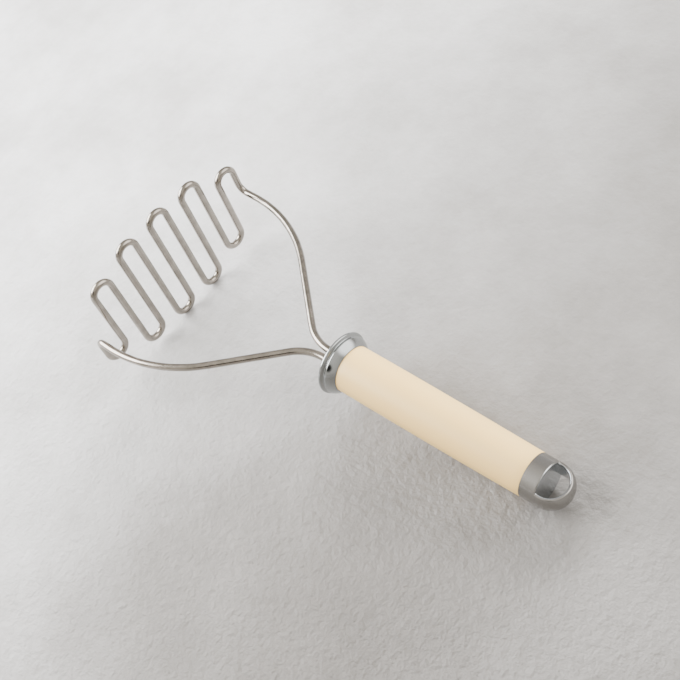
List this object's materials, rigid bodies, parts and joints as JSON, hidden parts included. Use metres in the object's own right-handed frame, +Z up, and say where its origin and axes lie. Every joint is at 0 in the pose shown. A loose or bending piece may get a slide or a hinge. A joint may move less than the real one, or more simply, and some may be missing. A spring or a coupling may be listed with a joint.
{
  "type": "potato masher",
  "caption": "Hand masher with a flat oval zigzag of bent wire on two converging arms, a flanged collar, a round tapered grip and an end cap with a D-shaped hanging hole.",
  "frame": {"origin": "middle of the bounding box's underside, on the surface that the tool lies on", "axes": "+X from the wire head towards the hanging loop, +Y across the head towards the end whose last bend points up, +Z up from the table"},
  "size_m": [0.27, 0.124, 0.0766],
  "materials": {
    "wire": "satin",
    "collar": "polished",
    "core": "moulded",
    "grip": "satin",
    "cap": "satin"
  },
  "bodies": {
    "root": {"wire_head": "wire", "collar": "collar", "handle_core": "core", "grip": "grip", "end_cap": "cap"}
  },
  "joints": []
}
